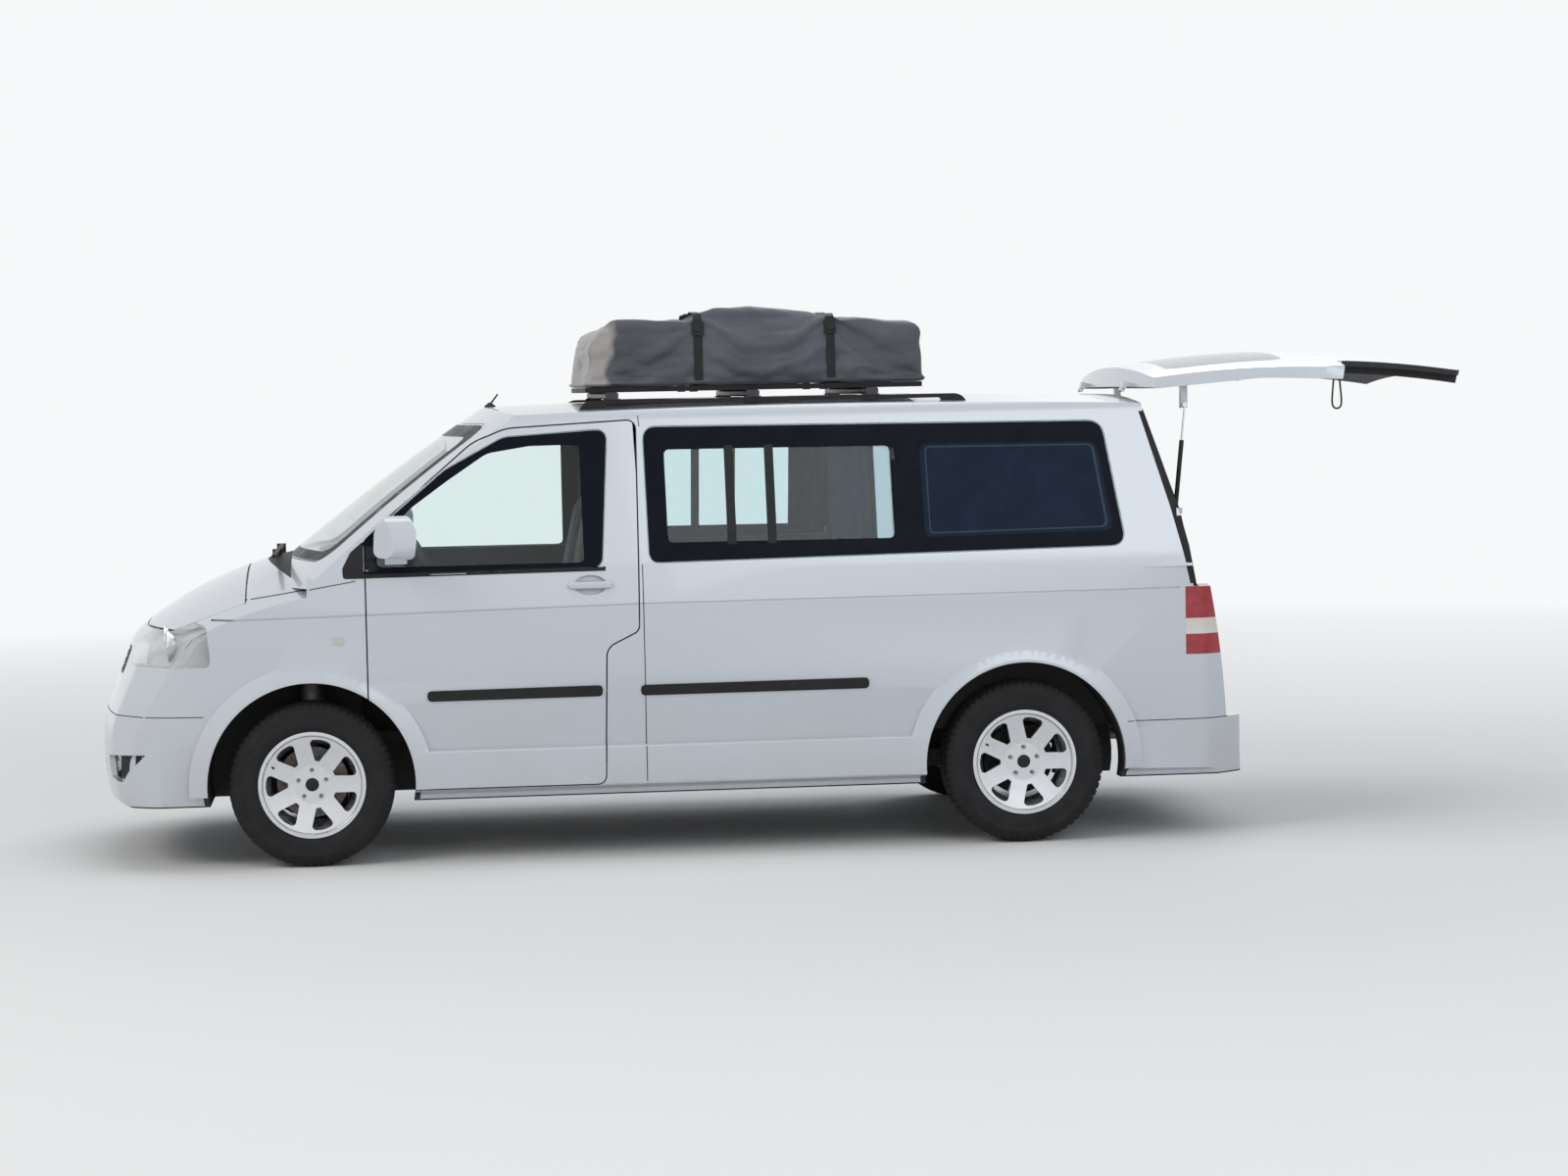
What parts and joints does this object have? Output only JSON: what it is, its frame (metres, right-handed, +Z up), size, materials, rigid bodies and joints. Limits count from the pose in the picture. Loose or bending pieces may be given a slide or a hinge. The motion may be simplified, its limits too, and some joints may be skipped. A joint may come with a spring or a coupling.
{
  "type": "camper van",
  "caption": "Short-wheelbase camper van with open tailgate and a folded roof tent in its travel cover; doors, bonnet, tailgate, steering and wheels move.",
  "frame": {"origin": "centre of the whole length and width at the floor", "axes": "+X forward, +Y to the van's left, +Z up"},
  "size_m": [5.902, 2.3354, 2.315],
  "materials": {
    "body_paint": "metallic silver paint",
    "bumper_paint": "body-coloured plastic",
    "glass": "green-tinted glass",
    "dark_glass": "dark privacy glass",
    "lamp_clear": "clear lamp lens",
    "lamp_red": "red and clear lamp lens",
    "black_plastic": "grained black plastic",
    "interior_plastic": "grained dark grey plastic",
    "interior_fabric": "dark grey woven cloth",
    "tent_fabric": "grey coated cover cloth",
    "webbing": "black webbing",
    "rail_metal": "black anodised",
    "bar_metal": "dark anodised",
    "chassis": "black chassis paint",
    "cast_metal": "cast engine block",
    "exhaust_metal": "weathered steel",
    "rod_metal": "polished rod",
    "rim": "silver painted alloy",
    "tyre": "rubber",
    "hub_metal": "machined hub and disc"
  },
  "bodies": {
    "body": {"body_shell": "body_paint", "roof_panel": "body_paint", "side_panel_left": "body_paint", "side_panel_right": "body_paint", "sliding_door_right": "body_paint", "front_wings": "body_paint", "front_bumper": "bumper_paint", "rear_bumper": "bumper_paint", "grille": "black_plastic", "headlamps": "lamp_clear", "tail_lamps": "lamp_red", "windscreen": "glass", "side_glass": "dark_glass", "cowl_panel": "black_plastic", "dashboard": "interior_plastic", "steering_wheel": "interior_plastic", "front_seats": "interior_fabric", "rear_bench": "interior_fabric", "roof_rails": "rail_metal", "crossbars": "bar_metal", "tent_base": "black_plastic", "tent_cover": "tent_fabric", "engine_block": "cast_metal", "front_axle_frame": "chassis", "rear_axle_frame": "chassis", "fuel_tank": "black_plastic", "exhaust": "exhaust_metal", "wipers": "black_plastic"},
    "bonnet": {"bonnet": "body_paint"},
    "door_left": {"front_door_left": "body_paint", "door_glass_left": "glass", "door_mirror_left": "body_paint"},
    "door_right": {"front_door_right": "body_paint", "door_glass_right": "glass", "door_mirror_right": "body_paint"},
    "tailgate": {"tailgate": "body_paint", "tailgate_glass": "dark_glass", "pull_loop": "webbing"},
    "strut_tube_left": {"strut_tube_left": "chassis"},
    "strut_rod_left": {"strut_rod_left": "rod_metal"},
    "strut_tube_right": {"strut_tube_right": "chassis"},
    "strut_rod_right": {"strut_rod_right": "rod_metal"},
    "knuckle_left": {"knuckle_left": "hub_metal"},
    "knuckle_right": {"knuckle_right": "hub_metal"},
    "wheel_front_left": {"wheel_front_left": "rim", "tyre_front_left": "tyre"},
    "wheel_front_right": {"wheel_front_right": "rim", "tyre_front_right": "tyre"},
    "wheel_rear_left": {"wheel_rear_left": "rim", "tyre_rear_left": "tyre"},
    "wheel_rear_right": {"wheel_rear_right": "rim", "tyre_rear_right": "tyre"}
  },
  "joints": [
    {"name": "bonnet_hinge", "type": "hinge", "parent": "body", "child": "bonnet", "pos_m": [1.925, 0, 1.29], "axis": [0, -1, 0], "range_deg": [0, 52]},
    {"name": "door_left_hinge", "type": "hinge", "parent": "body", "child": "door_left", "pos_m": [1.79, 0.95, 0.9], "axis": [0, 0, -1], "range_deg": [0, 66]},
    {"name": "door_right_hinge", "type": "hinge", "parent": "body", "child": "door_right", "pos_m": [1.79, -0.95, 0.9], "axis": [0, 0, 1], "range_deg": [0, 66]},
    {"name": "tailgate_hinge", "type": "hinge", "parent": "body", "child": "tailgate", "pos_m": [-1.503, 0, 1.912], "axis": [0, -1, 0], "range_deg": [0, 77.4]},
    {"name": "strut_left_tilt", "type": "hinge", "parent": "body", "child": "strut_tube_left", "pos_m": [-1.674, 0.704, 1.392], "axis": [0, 1, 0], "range_deg": [-1, 40.44]},
    {"name": "strut_left_slide", "type": "slide", "parent": "strut_tube_left", "child": "strut_rod_left", "axis": [0.1061, 0, -0.9944], "range_m": [-0.002, 0.10617]},
    {"name": "strut_right_tilt", "type": "hinge", "parent": "body", "child": "strut_tube_right", "pos_m": [-1.674, -0.704, 1.392], "axis": [0, 1, 0], "range_deg": [-1, 40.44]},
    {"name": "strut_right_slide", "type": "slide", "parent": "strut_tube_right", "child": "strut_rod_right", "axis": [0.1061, 0, -0.9944], "range_m": [-0.002, 0.10617]},
    {"name": "steer_left", "type": "hinge", "parent": "body", "child": "knuckle_left", "pos_m": [2.04, 0.7, 0.246], "axis": [0, -0.1871, 0.9823], "range_deg": [-31, 31]},
    {"name": "steer_right", "type": "hinge", "parent": "body", "child": "knuckle_right", "pos_m": [2.04, -0.7, 0.246], "axis": [0, 0.1871, 0.9823], "range_deg": [-31, 31]},
    {"name": "spin_front_left", "type": "hinge", "parent": "knuckle_left", "child": "wheel_front_left", "pos_m": [2.04, 0.814, 0.343], "axis": [0, 1, 0], "continuous": true},
    {"name": "spin_front_right", "type": "hinge", "parent": "knuckle_right", "child": "wheel_front_right", "pos_m": [2.04, -0.814, 0.343], "axis": [0, 1, 0], "continuous": true},
    {"name": "spin_rear_left", "type": "hinge", "parent": "body", "child": "wheel_rear_left", "pos_m": [-0.96, 0.814, 0.343], "axis": [0, 1, 0], "continuous": true},
    {"name": "spin_rear_right", "type": "hinge", "parent": "body", "child": "wheel_rear_right", "pos_m": [-0.96, -0.814, 0.343], "axis": [0, 1, 0], "continuous": true}
  ],
  "couplings": [
    {"joint": "strut_left_tilt", "follows": "tailgate_hinge", "ratio": 0.50958},
    {"joint": "strut_left_slide", "follows": "tailgate_hinge", "m_per_rad": 0.077112},
    {"joint": "strut_right_tilt", "follows": "tailgate_hinge", "ratio": 0.50958},
    {"joint": "strut_right_slide", "follows": "tailgate_hinge", "m_per_rad": 0.077112},
    {"joint": "steer_right", "follows": "steer_left", "ratio": 1}
  ]
}
